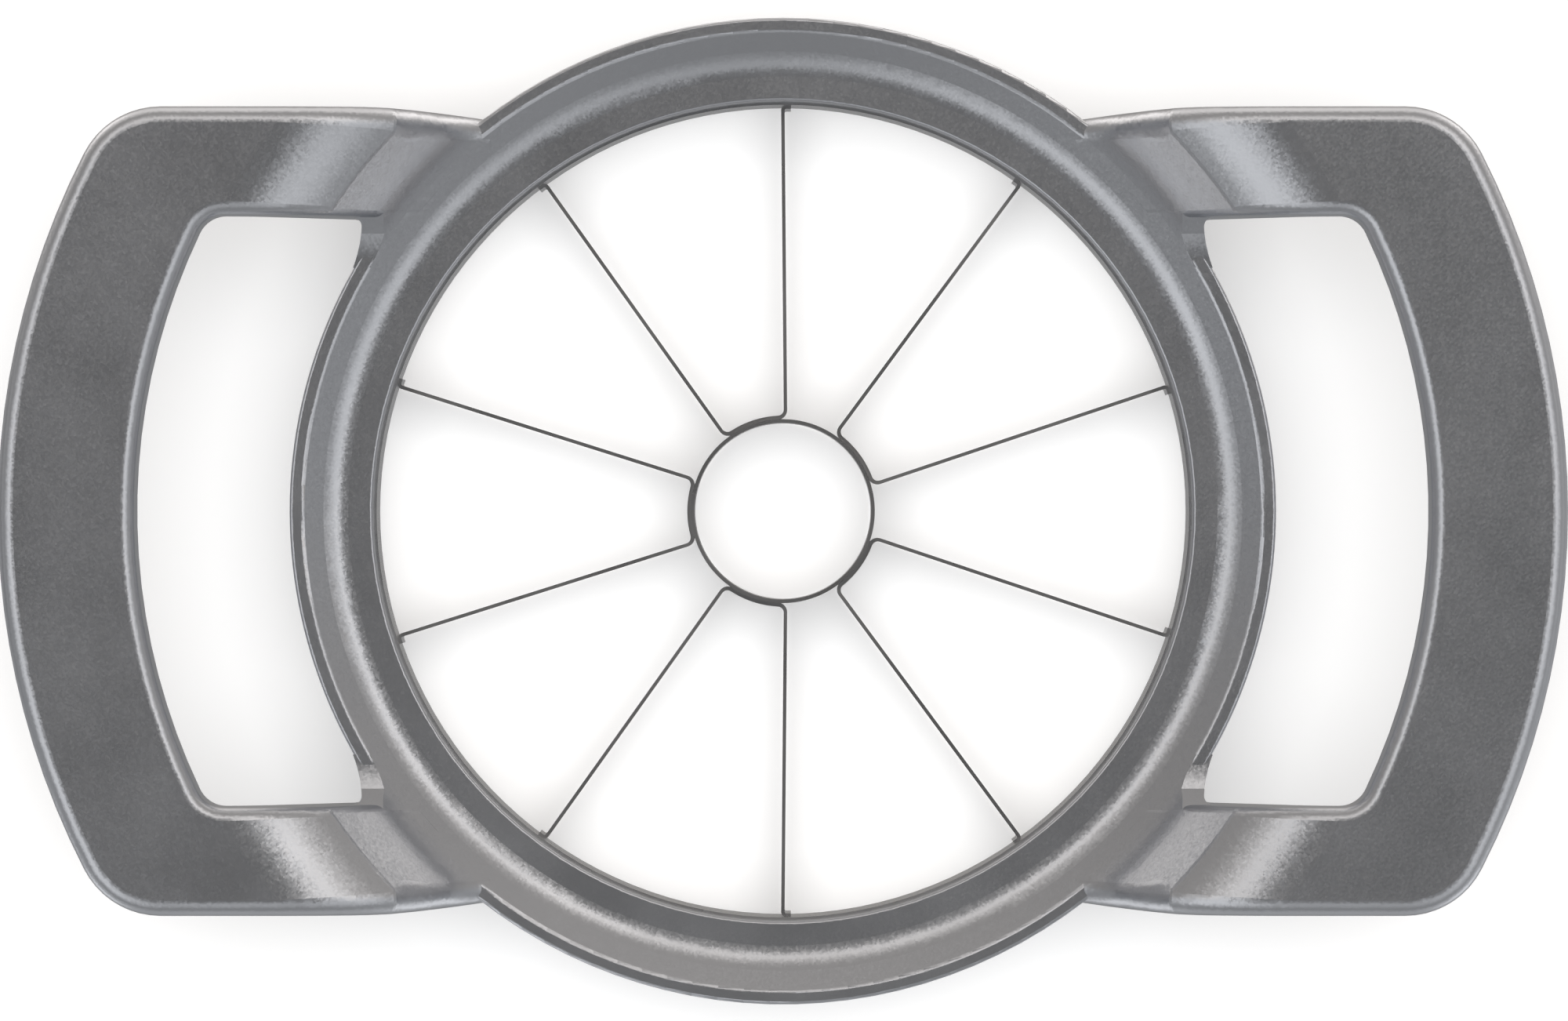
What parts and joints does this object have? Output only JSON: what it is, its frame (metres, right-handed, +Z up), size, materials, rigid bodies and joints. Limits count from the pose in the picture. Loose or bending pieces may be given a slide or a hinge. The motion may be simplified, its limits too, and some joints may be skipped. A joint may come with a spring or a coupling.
{
  "type": "apple slicer and corer",
  "caption": "Hand-pressed apple slicer: a dished cast ring with two raised loop handles holds radial steel blades that meet at a round coring tube.",
  "frame": {"origin": "centre of the base rim, on the axis of the blade ring, where the part stands", "axes": "+X towards the right handle, +Y across the ring, +Z up out of the dish"},
  "size_m": [0.175, 0.111, 0.0327],
  "materials": {
    "cast_aluminium": "die-cast aluminium with a fine sand-grained grey metallic lacquer, edges slightly burnished",
    "blade_steel": "stainless strip, satin, with a ground cutting bevel and spot welds"
  },
  "bodies": {
    "root": {"cast_frame": "cast_aluminium", "blade_hoop": "blade_steel", "core_ring": "blade_steel", "blade_strip_1": "blade_steel", "blade_strip_2": "blade_steel", "blade_strip_3": "blade_steel", "blade_strip_4": "blade_steel", "blade_strip_5": "blade_steel"}
  },
  "joints": []
}
